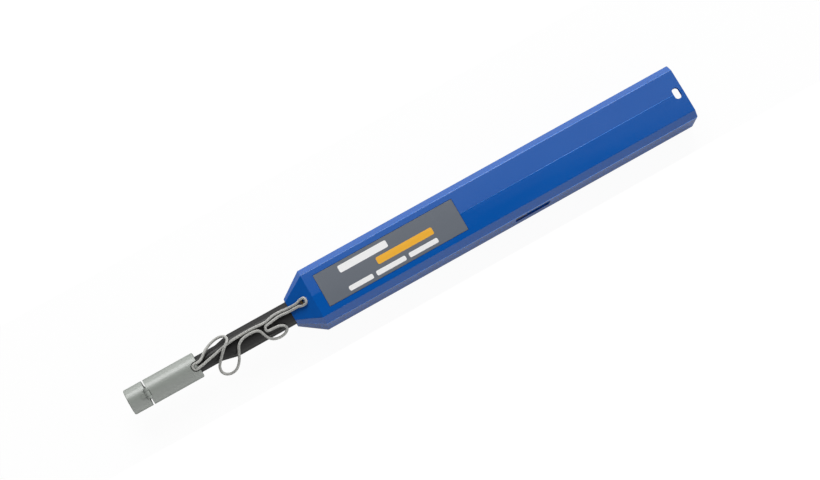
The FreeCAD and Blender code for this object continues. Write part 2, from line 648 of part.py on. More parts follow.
def build_drive():
    cheek = REEL_GAP / 2 + REEL_CHEEK
    parts["drive_pinion"] = pinion()
    parts["take_up_reel"] = reel(X_TAKE_UP, cheek + HUB_SIDE, -PLATE_IN + RUN)
    parts["take_up_tape"] = roll(X_TAKE_UP, TAKE_UP_ROLL)
    parts["supply_reel"] = reel(X_SUPPLY, PLATE_IN - RUN, -PLATE_IN + BRAKE_THICKNESS + 0.1)
    parts["supply_tape"] = roll(X_SUPPLY, SUPPLY_ROLL)
    length = 2 * HUB_SIDE - 0.3
    parts["clutch_spring"] = coil(HUB_DIA + 2 * (CLUTCH_WIRE + 0.05), CLUTCH_WIRE, CLUTCH_TURNS,
                                  V(X_TAKE_UP, cheek + 0.15, ZC), Y_AXIS, length, 6)


# ---------------------------------------------------------------- tape
def ribbon(points, thickness):
    """Outline of a thin strip along (x, z) points, with square ends."""
    sides = ([], [])
    for index, (x, z) in enumerate(points):
        x0, z0 = points[max(index - 1, 0)]
        x1, z1 = points[min(index + 1, len(points) - 1)]
        length = sqrt((x1 - x0) ** 2 + (z1 - z0) ** 2)
        across = (-(z1 - z0) / length * thickness / 2, (x1 - x0) / length * thickness / 2)
        sides[0].append((x + across[0], z + across[1]))
        sides[1].append((x - across[0], z - across[1]))
    return sides[0] + sides[1][::-1]


def tape_path():
    """From the supply reel's underside, round the tip and back over the take-up reel."""
    lead_in = [
        (X_GUIDE, TAPE_OUT), (X_FLANGE + 2, TAPE_IN_BORE), (X_TAPER - 2, TAPE_IN_BORE),
        (X_NECK - 1, TAPE_IN_NECK), (X_SHAFT_END + 0.4, TAPE_IN_NECK), (X_TIP_SEAT - 2, TAPE_AT_TIP),
    ]
    out = [(X_SUPPLY, SUPPLY_ROLL / 2 + TAPE_GAP), (X_MID - CROSS_PLATE / 2, TAPE_OUT), *lead_in]
    home = [(X_TAKE_UP, TAKE_UP_ROLL / 2 + TAPE_GAP), (X_MID - CROSS_PLATE / 2, TAPE_OUT), *lead_in]
    end = X_TIP_END - 0.1
    bend = [(end + TAPE_AT_TIP * sin(a), ZC - TAPE_AT_TIP * cos(a)) for a in (pi * n / 8 for n in range(9))]
    return [(x, ZC - r) for x, r in out] + bend + [(x, ZC + r) for x, r in reversed(home)]


def build_tape():
    parts["cleaning_tape"] = plate(ribbon(tape_path(), TAPE_THICKNESS), -TAPE_WIDTH / 2, TAPE_WIDTH / 2)


# ---------------------------------------------------------------- guide cap, lid and hinge
def turn_cap(shape):
    """The cap and what is on it sit turned about the nozzle."""
    shape.rotate(V(0, 0, ZC), X_AXIS, -CAP_TURN)
    return shape


def hinge_rod(diameter, half_width):
    return pin(diameter, X_HINGE, -half_width, half_width, ZC + HINGE_HEIGHT)


def rim_flat():
    """Cuts the shallow flat on the cap's rear rim, beside the cord's groove."""
    length, depth = RIM_FLAT
    block = box(X_CAP - 1, X_CAP + length, -CAP_DIA, CAP_DIA, ZC + CAP_DIA / 2 - depth, ZC + CAP_DIA)
    block.rotate(V(0, 0, ZC), X_AXIS, -RIM_FLAT_TURN)
    return block


def loop_groove():
    """U-shaped groove in the cap's rear rim that holds the cord loop."""
    half = CORD_LOOP + CORD_DIA / 2 + CORD_CLEAR
    floor = ZC + CAP_DIA / 2 - CORD_DIA - CORD_CLEAR
    end = Part.makeCylinder(half, CAP_DIA, V(X_CAP_POST, 0, floor))
    return end.fuse(box(X_CAP - 1, X_CAP_POST, -half, half, floor, floor + CAP_DIA))


def build_cap():
    outer, bore, port = CAP_DIA / 2, NOZZLE_NECK_DIA / 2 + RUN, PORT_DIA / 2
    boss, boss_length = PORT_BOSS[0] / 2, PORT_BOSS[1]
    deep, tip_room = X_NECK_END + 0.6, TIP_TUBE_DIA / 2 + 3 * RUN
    mouth = X_CAP_FRONT + boss_length - 0.3
    port_end = mouth - PORT_DEPTH
    body = turned([
        (X_CAP, bore + 0.3), (X_CAP, outer - EDGE_ROUND), (X_CAP + EDGE_ROUND, outer), (X_CAP_FRONT, outer),
        (X_CAP_FRONT, boss), (X_CAP_FRONT + boss_length, boss), (X_CAP_FRONT + boss_length, port + 0.3),
        (mouth, port), (port_end, port), (port_end, tip_room), (deep, tip_room), (deep, bore),
        (X_CAP + 0.3, bore),
    ])
    knuckle_half = KNUCKLE_WIDTH / 2
    room_half = knuckle_half + HINGE_GAP
    ear_half = room_half + EAR_WIDTH
    z_hinge, root = ZC + HINGE_HEIGHT, ZC + outer - EAR_ROOT
    foot = box(X_HINGE - KNUCKLE_DIA / 2, X_HINGE, -ear_half, ear_half, root, z_hinge)
    cap = fuse([body, hinge_rod(KNUCKLE_DIA, ear_half), foot])
    room_dia = KNUCKLE_DIA + 4 * HINGE_GAP
    arm_room = box(X_HINGE, X_HINGE + room_dia, -room_half, room_half, root - 1, z_hinge + room_dia)
    cap = cut(cap, [hinge_rod(room_dia, room_half), arm_room, hinge_rod(HINGE_PIN_DIA, CAP_DIA),
                    rim_flat(), loop_groove()])
    floor = ZC + CAP_DIA / 2 - CORD_DIA - CORD_CLEAR
    post = Part.makeCylinder(POST_DIA / 2, CORD_DIA + CORD_CLEAR, V(X_CAP_POST, 0, floor))
    parts["guide_cap"] = turn_cap(cap.fuse(post))

    inside = outer - LID_WALL
    lid = turned([
        (X_LID, inside), (X_LID, outer), (X_LID_FRONT - EDGE_ROUND, outer), (X_LID_FRONT, outer - EDGE_ROUND),
        (X_LID_FRONT, 0), (X_LID_FRONT - LID_WALL, 0), (X_LID_FRONT - LID_WALL, inside),
    ])
    arm = box(X_HINGE, X_HINGE + ARM_LENGTH, -knuckle_half, knuckle_half, root, z_hinge)
    ear_room = hinge_rod(room_dia, ear_half + HINGE_GAP)
    lid = fuse([lid.cut(ear_room), arm, hinge_rod(KNUCKLE_DIA, knuckle_half)])
    lid = lid.cut(hinge_rod(HINGE_PIN_DIA + 2 * RUN, CAP_DIA))
    parts["cap_lid"] = turn_cap(lid)
    parts["lid_hinge_pin"] = turn_cap(hinge_rod(HINGE_PIN_DIA, ear_half - 0.05))


# ---------------------------------------------------------------- cord loop
# One closed loop of cord, in two spans: round the nose post, and round the cap's post.
TETHER_REAR = [
    (64.6, -1.0, 14.7), (61.6, -1.0, 14.7), (57.8, -0.5, 14.8), (54.6, -1.45, 14.65), (51.4, -1.5, 14.65),
    (48.6, -1.05, 15.0), (46.0, -0.8, 16.0), (44.4, -0.85, 16.75), (43.3, -1.3, 17.3), (41.5, -1.2, 18.2),
    (41.5, 1.0, 18.2), (43.3, 1.1, 17.3), (44.8, 0.4, 16.6), (46.6, 0.3, 15.75), (49.0, 0.15, 14.8),
    (52.4, -0.3, 14.7), (56.2, 0.35, 14.8), (58.6, 0.6, 14.8), (58.8, 2.5, 14.2), (56.4, 2.5, 14.1),
    (53.4, 2.7, 13.9), (51.5, 4.1, 12.8), (52.6, 5.7, 11.6), (55.8, 6.2, 11.2), (58.6, 5.3, 11.9),
    (60.0, 3.2, 13.6), (60.7, 1.0, 14.6), (62.6, 0.2, 14.8), (64.6, 0.2, 14.8),
]
TETHER_FRONT = [
    (64.6, 0.2, 14.8), (67.0, 0.2, 14.8), (69.6, 1.7, 14.6), (70.8, 4.0, 13.2), (72.2, 6.6, 11.4),
    (74.4, 8.5, 10.0), (77.2, 8.7, 9.4), (79.4, 7.2, 9.9), (79.4, 4.9, 11.4), (77.4, 2.8, 13.0),
    (75.4, 1.0, 14.9), (73.6, -0.5, 15.5), (72.0, -1.9, 14.9), (72.6, -3.9, 13.6), (75.2, -4.6, 12.6),
    (78.4, -3.9, 12.6), (81.4, -2.4, 13.1),
]


def cap_loop():
    """The turn round the cap's post, in the cap's own turned frame."""
    height = CAP_DIA / 2 - CORD_CLEAR / 2 - CORD_DIA / 2
    turn = radians(CAP_TURN)
    far = X_CAP_POST + CORD_LOOP - 0.13
    points = [(X_CAP - 1.3, -CORD_PINCH), (far, -CORD_LOOP), (far, CORD_LOOP), (X_CAP - 1.3, CORD_PINCH)]
    return [(x, y * cos(turn) + height * sin(turn), ZC + height * cos(turn) - y * sin(turn))
            for x, y in points]


def build_cord():
    parts["tether_rear"] = cord_tube(TETHER_REAR, CORD_DIA, "tether_rear")
    back = [(81.0, 0.9, 13.4), (77.4, 0.2, 13.6), (73.8, -0.6, 14.2), (68.6, -1.0, 14.7), (64.6, -1.0, 14.7)]
    parts["tether_front"] = cord_tube([*TETHER_FRONT, *cap_loop(), *back], CORD_DIA, "tether_front")


build_body()
build_carriage()
build_head()
build_drive()
build_tape()
build_cap()
build_cord()
for name, shape in parts.items():
    if not shape.isValid():
        raise ValueError(f"{name} isn't a valid solid")
    shape.exportStep(f"parts/{name}.step")
    print(f"{name:22s} solids {len(shape.Solids)}  volume {shape.Volume:9.2f}")
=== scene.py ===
"""Fibre connector cleaning pen: the looks of its pieces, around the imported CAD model."""
import json
import logging
import math
from dataclasses import dataclass
from enum import Enum
from typing import Iterable, Sequence

import bmesh
import bpy
from mathutils import Matrix, Vector

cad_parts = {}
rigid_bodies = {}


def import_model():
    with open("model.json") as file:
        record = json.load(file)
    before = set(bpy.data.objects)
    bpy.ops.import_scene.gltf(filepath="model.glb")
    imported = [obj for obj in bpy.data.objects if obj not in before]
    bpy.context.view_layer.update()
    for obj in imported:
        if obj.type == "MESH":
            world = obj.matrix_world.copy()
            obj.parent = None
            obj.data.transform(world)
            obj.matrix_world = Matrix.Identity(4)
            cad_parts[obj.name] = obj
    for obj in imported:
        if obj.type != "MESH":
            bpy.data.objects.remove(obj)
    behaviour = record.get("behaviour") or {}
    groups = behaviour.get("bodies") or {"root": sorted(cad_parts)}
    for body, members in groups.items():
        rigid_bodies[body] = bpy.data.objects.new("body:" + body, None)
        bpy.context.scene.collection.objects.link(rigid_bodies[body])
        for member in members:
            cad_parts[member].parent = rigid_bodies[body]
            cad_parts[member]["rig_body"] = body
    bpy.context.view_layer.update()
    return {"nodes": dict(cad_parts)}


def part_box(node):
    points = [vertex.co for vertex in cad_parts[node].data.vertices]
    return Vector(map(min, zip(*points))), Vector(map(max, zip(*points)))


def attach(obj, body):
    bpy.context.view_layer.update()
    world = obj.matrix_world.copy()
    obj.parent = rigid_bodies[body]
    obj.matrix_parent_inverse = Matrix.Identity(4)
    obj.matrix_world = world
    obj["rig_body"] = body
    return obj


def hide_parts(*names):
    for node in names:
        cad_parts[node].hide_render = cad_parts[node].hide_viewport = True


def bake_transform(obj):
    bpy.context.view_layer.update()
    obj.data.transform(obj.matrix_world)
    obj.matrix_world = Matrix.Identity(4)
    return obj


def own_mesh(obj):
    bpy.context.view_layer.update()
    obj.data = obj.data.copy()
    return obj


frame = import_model()
LOG = logging.getLogger("cleaning_pen")
Point = tuple[float, float, float]
Colour = tuple[float, float, float]

MM = 0.001
AXIS = 9.4                        # height of the pen's own axis above the floor, in millimetres
WELD = 2e-6                       # corners of a CAD mesh nearer than this become one, in metres
CUT = 1e-7                        # how near a corner counts as on a cutting plane, in metres
FLAT = math.radians(0.6)          # faces that turn less than this become one flat face
ROUNDING_STEPS = 3                # facets across a rounded edge
ROUTE_STEPS = 10                  # points along each run of a cord's route
MIX_FACTOR, MIX_FIRST, MIX_SECOND = 0, 6, 7   # places of the colour Mix node's inputs
MIX_RESULT = 2                    # place of the colour Mix node's output


def high(node: str) -> Vector:
    """Highest corner of a CAD node, in metres."""
    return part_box(node)[1]


def rgba(colour: Colour) -> tuple[float, float, float, float]:
    """A colour with full opacity."""
    return (*colour, 1.0)


def new_object(name: str, mesh: bpy.types.Mesh, material: bpy.types.Material) -> bpy.types.Object:
    """Links a mesh into the scene as one object with one material.

    Args:
        name: the piece's name.
        mesh: its mesh, in metres and in place.
        material: its finish.

    Returns:
        The new object.
    """
    mesh.materials.clear()
    mesh.materials.append(material)
    piece = bpy.data.objects.new(name, mesh)
    bpy.context.scene.collection.objects.link(piece)
    LOG.info("made %s in %s", name, material.name)
    return piece


def dress(node: str, material: bpy.types.Material) -> None:
    """Gives a CAD node a better material, with its shape as it is.

    Args:
        node: the CAD node.
        material: its finish.
    """
    piece = frame["nodes"][node]
    for slot in piece.material_slots:
        slot.material = material
    LOG.info("dressed %s in %s", node, material.name)


def rounded_copy(node: str, material: bpy.types.Material, width: float, seam: float = 0.0,
                 sharpness: float = 25.0) -> bpy.types.Object:
    """A copy of a CAD node whose edges are rounded as a mould or a lathe leaves them.

    Args:
        node: the CAD node.
        material: the copy's finish.
        width: size of the rounding, in metres.
        seam: edges nearer than this to the pen's middle plane stay sharp, in metres.
        sharpness: smallest angle between two faces that gets rounded, in degrees.

    Returns:
        The copy, which replaces the node and rides on its body.
    """
    source = frame["nodes"][node]
    mesh = source.data.copy()
    mesh.name = f"{node}_rounded"
    if mesh.attributes.get("custom_normal"):
        mesh.attributes.remove(mesh.attributes["custom_normal"])
    shape = bmesh.new()
    shape.from_mesh(mesh)
    bmesh.ops.remove_doubles(shape, verts=shape.verts, dist=WELD)
    bmesh.ops.dissolve_limit(shape, angle_limit=FLAT, verts=shape.verts, edges=shape.edges, delimit=set())
    weight = shape.edges.layers.float.new("bevel_weight_edge")
    for edge in shape.edges:
        sharp = edge.is_manifold and edge.calc_face_angle() > math.radians(sharpness)
        on_seam = all(abs(vertex.co.y) < seam for vertex in edge.verts)
        edge[weight] = float(sharp and not on_seam)
        edge.smooth = not (sharp and on_seam)
    for face in shape.faces:
        face.smooth = True
    shape.to_mesh(mesh)
    shape.free()
    piece = new_object(f"{node}_skin", mesh, material)
    rounding = piece.modifiers.new("rounding", "BEVEL")
    rounding.limit_method = "WEIGHT"
    rounding.width = width
    rounding.segments = ROUNDING_STEPS
    rounding.use_clamp_overlap = True
    rounding.miter_outer = "MITER_ARC"
    shading = piece.modifiers.new("flat_faces_stay_flat", "WEIGHTED_NORMAL")
    shading.keep_sharp = True
    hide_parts(node)
    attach(piece, source["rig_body"])
    LOG.info("rounded %s by %.2f mm", node, width / MM)
    return piece


# ------------------------------------------------------------------ node trees
@dataclass
class Tree:
    """Short ways to add and join shader nodes in one tree."""

    tree: bpy.types.NodeTree

    def add(self, kind: str, **settings: object) -> bpy.types.Node:
        """Adds a node, with its properties, or its inputs by name.

        Args:
            kind: Blender's name for the node type.
            settings: properties of the node, or values of its inputs with spaces as underscores.

        Returns:
            The new node.
        """
        node = self.tree.nodes.new(kind)
        for name, value in settings.items():
            socket = name.replace("_", " ")
            if hasattr(node, name):
                setattr(node, name, value)
            elif socket in node.inputs:
                node.inputs[socket].default_value = value
            else:
                raise KeyError(f"{kind} has no {name}")
        return node

    def join(self, source: bpy.types.NodeSocket, target: bpy.types.NodeSocket) -> None:
        """Links one socket to another."""
        self.tree.links.new(source, target)

    def maths(self, operation: str, *values: "bpy.types.NodeSocket | float") -> bpy.types.NodeSocket:
        """A Math node on one or two values.

        Args:
            operation: the Math node's operation.
            values: its inputs in order, each a socket or a number.

        Returns:
            The result's socket.
        """
        node = self.add("ShaderNodeMath", operation=operation)
        for place, value in zip(node.inputs, values):
            if isinstance(value, bpy.types.NodeSocket):
                self.join(value, place)
            else:
                place.default_value = value
        return node.outputs[0]

    def ramp(self, value: bpy.types.NodeSocket, reach: tuple[float, float] = (0.0, 1.0),
             numbers: tuple[float, float] = (0.0, 1.0)) -> bpy.types.NodeSocket:
        """A number that goes from one to another while a value crosses its reach.

        Args:
            value: the value.
            reach: where the number starts to change and where it ends.
            numbers: the number there, at the start and at the end.

        Returns:
            The number's socket.
        """
        node = self.add("ShaderNodeMapRange", From_Min=reach[0], From_Max=reach[1], To_Min=numbers[0],
                        To_Max=numbers[1])
        self.join(value, node.inputs["Value"])
        return node.outputs[0]

    def blend(self, mask: "bpy.types.NodeSocket | float", first: "bpy.types.NodeSocket | Colour",
              second: "bpy.types.NodeSocket | Colour", kind: str = "MIX") -> bpy.types.NodeSocket:
        """The colour between two others that a mask picks.

        Args:
            mask: from 0 for the first colour to 1 for the second, a socket or a number.
            first: the first colour, or the socket that gives it.
            second: the second colour, or the socket that gives it.
            kind: how the second goes over the first, in Blender's word.

        Returns:
            The blended colour's socket.
        """
        node = self.add("ShaderNodeMix", data_type="RGBA", blend_type=kind)
        for place, value in ((MIX_FACTOR, mask), (MIX_FIRST, first), (MIX_SECOND, second)):
            if isinstance(value, bpy.types.NodeSocket):
                self.join(value, node.inputs[place])
            else:
                node.inputs[place].default_value = value if place == MIX_FACTOR else rgba(value)
        return node.outputs[MIX_RESULT]


def new_group(name: str, inputs: dict[str, float],
              outputs: Sequence[str]) -> tuple[Tree, bpy.types.Node, bpy.types.Node]:
    """Starts a shader node group whose inputs and outputs are numbers.

    Args:
        name: the group's name.
        inputs: its inputs and what they start at.
        outputs: its outputs.

    Returns:
        The tree, its input node and its output node.
    """
    group = bpy.data.node_groups.new(name, "ShaderNodeTree")
    for title, value in inputs.items():
        socket = group.interface.new_socket(title, in_out="INPUT", socket_type="NodeSocketFloat")
        socket.default_value = value
    for title in outputs:
        group.interface.new_socket(title, in_out="OUTPUT", socket_type="NodeSocketFloat")
    tree = Tree(group)
    return tree, tree.add("NodeGroupInput"), tree.add("NodeGroupOutput")


# ------------------------------------------------------------------ shared surface effects
def build_skin_group() -> bpy.types.NodeTree:
    """Moulded or printed skin: uneven colour, uneven gloss and a fine grain.

    Returns:
        A group that puts out Shade (a mask around 0.5), Gloss (a mask from 0 to 1) and Height.
    """
    inputs = {"Mottle Scale": 60.0, "Grain Scale": 1500.0, "Smear Scale": 25.0, "Smear Stretch": 6.0}
    tree, given, result = new_group("moulded_skin", inputs, ("Shade", "Gloss", "Height"))
    place = tree.add("ShaderNodeTexCoord")
    mottle = tree.add("ShaderNodeTexNoise", Detail=3.0, Roughness=0.55)
    grain = tree.add("ShaderNodeTexNoise", Detail=2.0, Roughness=0.5)
    smear = tree.add("ShaderNodeTexNoise", Detail=4.0, Roughness=0.6, Distortion=0.6)
    squeeze = tree.add("ShaderNodeMapping")
    tall = tree.add("ShaderNodeCombineXYZ", X=1.0)
    tree.join(given.outputs["Smear Stretch"], tall.inputs["Y"])
    tree.join(given.outputs["Smear Stretch"], tall.inputs["Z"])
    tree.join(tall.outputs[0], squeeze.inputs["Scale"])
    tree.join(place.outputs["Object"], squeeze.inputs["Vector"])
    tree.join(squeeze.outputs[0], smear.inputs["Vector"])
    for noise, scale in ((mottle, "Mottle Scale"), (grain, "Grain Scale"), (smear, "Smear Scale")):
        tree.join(given.outputs[scale], noise.inputs["Scale"])
    for noise in (mottle, grain):
        tree.join(place.outputs["Object"], noise.inputs["Vector"])
    tree.join(mottle.outputs["Fac"], result.inputs["Shade"])
    tree.join(tree.ramp(smear.outputs["Fac"], reach=(0.42, 0.68)), result.inputs["Gloss"])
    tree.join(grain.outputs["Fac"], result.inputs["Height"])
    return tree.tree


def build_scuff_group() -> bpy.types.NodeTree:
    """Fine scratches and dust from handling.

    Returns:
        A group that puts out Scratch and Dust, two masks from 0 to 1.
    """
    inputs = {"Scratch Scale": 90.0, "Dust Scale": 2600.0, "Amount": 0.5}
    tree, given, result = new_group("handling_scuffs", inputs, ("Scratch", "Dust"))
    waver = 0.004  # how far a scratch strays, in metres
    place = tree.add("ShaderNodeTexCoord")
    bend = tree.add("ShaderNodeTexNoise", Scale=40.0, Detail=2.0)
    shift = tree.add("ShaderNodeVectorMath", operation="MULTIPLY_ADD")
    shift.inputs[1].default_value = (waver, waver, waver)
    tree.join(place.outputs["Object"], bend.inputs["Vector"])
    tree.join(bend.outputs["Color"], shift.inputs[0])
    tree.join(place.outputs["Object"], shift.inputs[2])
    lines = tree.add("ShaderNodeTexVoronoi", feature="DISTANCE_TO_EDGE")
    tree.join(shift.outputs[0], lines.inputs["Vector"])
    tree.join(given.outputs["Scratch Scale"], lines.inputs["Scale"])
    thin = tree.ramp(lines.outputs["Distance"], reach=(0.0, 0.012), numbers=(1.0, 0.0))
    where = tree.add("ShaderNodeTexNoise", Scale=70.0, Detail=2.0)
    tree.join(place.outputs["Object"], where.inputs["Vector"])
    marks = tree.maths("MULTIPLY", thin, tree.ramp(where.outputs["Fac"], reach=(0.55, 0.7)))
    tree.join(tree.maths("MULTIPLY", marks, given.outputs["Amount"]), result.inputs["Scratch"])
    dust = tree.add("ShaderNodeTexVoronoi", feature="F1")
    tree.join(place.outputs["Object"], dust.inputs["Vector"])
    tree.join(given.outputs["Dust Scale"], dust.inputs["Scale"])
    specks = tree.ramp(dust.outputs["Distance"], reach=(0.0, 0.12), numbers=(1.0, 0.0))
    tree.join(tree.maths("MULTIPLY", specks, given.outputs["Amount"]), result.inputs["Dust"])
    return tree.tree


def build_braid_group() -> bpy.types.NodeTree:
    """Strands of a fine braid, along a tube whose UV runs along it and round it.

    Returns:
        A group that puts out Strand (a mask from 0 between the strands to 1 on them) and Height.
    """
    inputs = {"Along": 60.0, "Around": 6.0, "Slant": 1.0}
    tree, given, result = new_group("fine_braid", inputs, ("Strand", "Height"))
    place = tree.add("ShaderNodeTexCoord")
    split = tree.add("ShaderNodeSeparateXYZ")
    tree.join(place.outputs["UV"], split.inputs[0])
    along = tree.maths("MULTIPLY", split.outputs["X"], given.outputs["Along"])
    around = tree.maths("MULTIPLY", split.outputs["Y"], given.outputs["Around"])
    lean = tree.maths("MULTIPLY", along, given.outputs["Slant"])
    waves = []
    for operation in ("ADD", "SUBTRACT"):
        turn = tree.maths("MULTIPLY", tree.maths(operation, lean, around), 2 * math.pi)
        waves.append(tree.maths("SINE", turn))
    strand = tree.ramp(tree.maths("MAXIMUM", *waves), reach=(-0.6, 0.9))
    tree.join(strand, result.inputs["Strand"])
    tree.join(strand, result.inputs["Height"])
    return tree.tree


@dataclass(frozen=True)
class Effects:
    """The shared node groups, each built once."""

    skin: bpy.types.NodeTree
    scuffs: bpy.types.NodeTree
    braid: bpy.types.NodeTree

    @classmethod
    def build(cls) -> "Effects":
        """Builds every shared group."""
        return cls(build_skin_group(), build_scuff_group(), build_braid_group())


# ------------------------------------------------------------------ finishes
class Metal(Enum):
    """What a turned or drawn metal piece is made of."""

    STEEL = (0.56, 0.56, 0.57)
    BRASS = (0.62, 0.42, 0.19)


def place_group(tree: Tree, group: bpy.types.NodeTree, **values: float) -> bpy.types.Node:
    """Adds a shared group to a material, with its own values.

    Args:
        tree: the material's tree.
        group: the shared group.
        values: its inputs, with spaces as underscores.

    Returns:
        The group's node.
    """
    node = tree.add("ShaderNodeGroup", node_tree=group)
    for name, value in values.items():
        node.inputs[name.replace("_", " ")].default_value = value
    return node


def start_material(name: str) -> tuple[bpy.types.Material, Tree, bpy.types.Node]:
    """A new material with an empty tree, one Principled shader and its output.

    Args:
        name: the material's name.

    Returns:
        The material, its tree and its shader.
    """
    material = bpy.data.materials.new(name)
    material.use_nodes = True
    material.node_tree.nodes.clear()
    tree = Tree(material.node_tree)
    shader = tree.add("ShaderNodeBsdfPrincipled")
    output = tree.add("ShaderNodeOutputMaterial")
    tree.join(shader.outputs[0], output.inputs["Surface"])
    return material, tree, shader


def add_relief(tree: Tree, shader: bpy.types.Node, height: bpy.types.NodeSocket, strength: float,
               depth: float) -> None:
    """Gives a shader a bump.

    Args:
        tree: the material's tree.
        shader: the material's shader.
        height: the socket that gives the bump's height.
        strength: the bump's strength, from 0 to 1.
        depth: what a height of 1 stands for, in metres.
    """
    bump = tree.add("ShaderNodeBump", Strength=strength, Distance=depth)
    tree.join(height, bump.inputs["Height"])
    tree.join(bump.outputs[0], shader.inputs["Normal"])


@dataclass(frozen=True)
class MouldedPlastic:
    """A moulded plastic with a fine grain, faint flow marks and light wear."""

    name: str
    colour: Colour
    varied: Colour
    dusty: Colour
    roughness: tuple[float, float] = (0.32, 0.42)
    grain: float = 0.000006
    grain_scale: float = 1500.0
    specular: float = 0.5
    scuffs: float = 0.25
    scratch_dulling: float = 0.2

    def material(self, effects: Effects) -> bpy.types.Material:
        """Builds the finish.

        Args:
            effects: the shared node groups.

        Returns:
            The material.
        """
        material, tree, shader = start_material(self.name)
        skin = place_group(tree, effects.skin, Mottle_Scale=45.0, Grain_Scale=self.grain_scale,
                           Smear_Scale=18.0, Smear_Stretch=4.0)
        scuffs = place_group(tree, effects.scuffs, Scratch_Scale=120.0, Dust_Scale=1500.0, Amount=self.scuffs)
        base = tree.blend(skin.outputs["Shade"], self.colour, self.varied)
        wear = tree.maths("MAXIMUM", scuffs.outputs["Dust"], scuffs.outputs["Scratch"])
        tree.join(tree.blend(wear, base, self.dusty), shader.inputs["Base Color"])
        rough = tree.ramp(skin.outputs["Gloss"], numbers=self.roughness)
        dulled = tree.maths("MULTIPLY", scuffs.outputs["Scratch"], self.scratch_dulling)
        tree.join(tree.maths("ADD", rough, dulled), shader.inputs["Roughness"])
        shader.inputs["Specular IOR Level"].default_value = self.specular
        add_relief(tree, shader, skin.outputs["Height"], strength=1.0, depth=self.grain)
        return material


@dataclass(frozen=True)
class BareMetal:
    """A drawn or turned metal with fine marks along or round it."""

    name: str
    metal: Metal
    roughness: tuple[float, float] = (0.18, 0.34)
    dulling: float = 0.72
    tool_marks: float = 0.000002

    def material(self, effects: Effects) -> bpy.types.Material:
        """Builds the finish.

        Args:
            effects: the shared node groups.

        Returns:
            The material.
        """
        material, tree, shader = start_material(self.name)
        skin = place_group(tree, effects.skin, Mottle_Scale=400.0, Grain_Scale=5000.0, Smear_Scale=300.0,
                           Smear_Stretch=12.0)
        bright = self.metal.value
        dull = tuple(part * self.dulling for part in bright)
        tree.join(tree.blend(skin.outputs["Shade"], bright, dull), shader.inputs["Base Color"])
        tree.join(tree.ramp(skin.outputs["Gloss"], numbers=self.roughness), shader.inputs["Roughness"])
        shader.inputs["Metallic"].default_value = 1.0
        add_relief(tree, shader, skin.outputs["Gloss"], strength=0.6, depth=self.tool_marks)
        return material


@dataclass(frozen=True)
class FineCloth:
    """A woven or pressed cloth, such as the cleaning tape and the felt washer."""

    name: str
    colour: Colour
    shadow: Colour
    thread: float = 9000.0
    weave: float = 1400.0
    relief: float = 0.00003
    roughness: float = 0.9
    sheen: float = 0.25

    def material(self, effects: Effects) -> bpy.types.Material:
        """Builds the finish.

        Args:
            effects: the shared node groups.

        Returns:
            The material.
        """
        material, tree, shader = start_material(self.name)
        skin = place_group(tree, effects.skin, Mottle_Scale=700.0, Grain_Scale=self.thread, Smear_Scale=200.0,
                           Smear_Stretch=1.0)
        place = tree.add("ShaderNodeTexCoord")
        weave = tree.add("ShaderNodeTexWave", Scale=self.weave, Distortion=1.0, Detail=1.0)
        tree.join(place.outputs["Object"], weave.inputs["Vector"])
        colour = tree.blend(weave.outputs["Fac"], self.shadow, self.colour)
        tree.join(colour, shader.inputs["Base Color"])
        shader.inputs["Roughness"].default_value = self.roughness
        shader.inputs["Sheen Weight"].default_value = self.sheen
        height = tree.maths("ADD", weave.outputs["Fac"], skin.outputs["Height"])
        add_relief(tree, shader, height, strength=0.7, depth=self.relief)
        return material


@dataclass(frozen=True)
class BraidedCord:
    """A thin pale cord whose fine strands cross, with painted shade between the strands."""

    name: str
    colour: Colour
    shade_between_strands: Colour
    roughness: tuple[float, float] = (0.3, 0.45)
    mottling: float = 0.3
    relief: float = 0.00004

    def material(self, effects: Effects) -> bpy.types.Material:
        """Builds the finish.

        Args:
            effects: the shared node groups.

        Returns:
            The material.
        """
        material, tree, shader = start_material(self.name)
        braid = place_group(tree, effects.braid, Along=120.0, Around=4.0, Slant=1.0)
        skin = place_group(tree, effects.skin, Mottle_Scale=500.0, Grain_Scale=6000.0, Smear_Scale=200.0,
                           Smear_Stretch=1.0)
        # the darker colour between the strands is painted shade in the braid's hollows
        strands = tree.blend(braid.outputs["Strand"], self.shade_between_strands, self.colour)
        colour = tree.blend(self.mottling, strands, skin.outputs["Shade"], kind="MULTIPLY")
        tree.join(colour, shader.inputs["Base Color"])
        tree.join(tree.ramp(skin.outputs["Gloss"], numbers=self.roughness), shader.inputs["Roughness"])
        add_relief(tree, shader, braid.outputs["Height"], strength=0.6, depth=self.relief)
        return material


